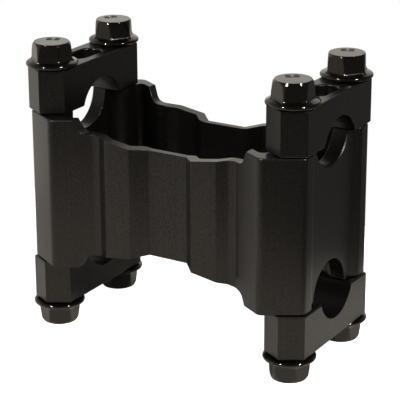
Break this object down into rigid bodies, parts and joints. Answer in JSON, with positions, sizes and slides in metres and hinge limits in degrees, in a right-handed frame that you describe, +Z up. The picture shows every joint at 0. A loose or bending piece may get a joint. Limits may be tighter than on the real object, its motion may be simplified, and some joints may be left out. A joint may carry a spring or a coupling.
{
  "type": "motorcycle bar riser",
  "caption": "Open billet handlebar riser with a waved wall between two columns, and bar clamps bolted above and below.",
  "frame": {"origin": "middle of the footprint, on the plane of the lower bolt heads' faces", "axes": "+X along the handlebar towards the right column, +Y to the rear, +Z up"},
  "size_m": [0.1054, 0.056, 0.097],
  "materials": {
    "black_anodised_aluminium": "satin black anodised",
    "black_oxide_steel": "glossy black oxide"
  },
  "bodies": {
    "root": {"riser_body": "black_anodised_aluminium", "clamp_upper_left": "black_anodised_aluminium", "clamp_upper_right": "black_anodised_aluminium", "clamp_lower_left": "black_anodised_aluminium", "clamp_lower_right": "black_anodised_aluminium", "bolt_upper_left_front": "black_oxide_steel", "bolt_upper_left_rear": "black_oxide_steel", "bolt_upper_right_front": "black_oxide_steel", "bolt_upper_right_rear": "black_oxide_steel", "bolt_lower_left_front": "black_oxide_steel", "bolt_lower_left_rear": "black_oxide_steel", "bolt_lower_right_front": "black_oxide_steel", "bolt_lower_right_rear": "black_oxide_steel"}
  },
  "joints": []
}
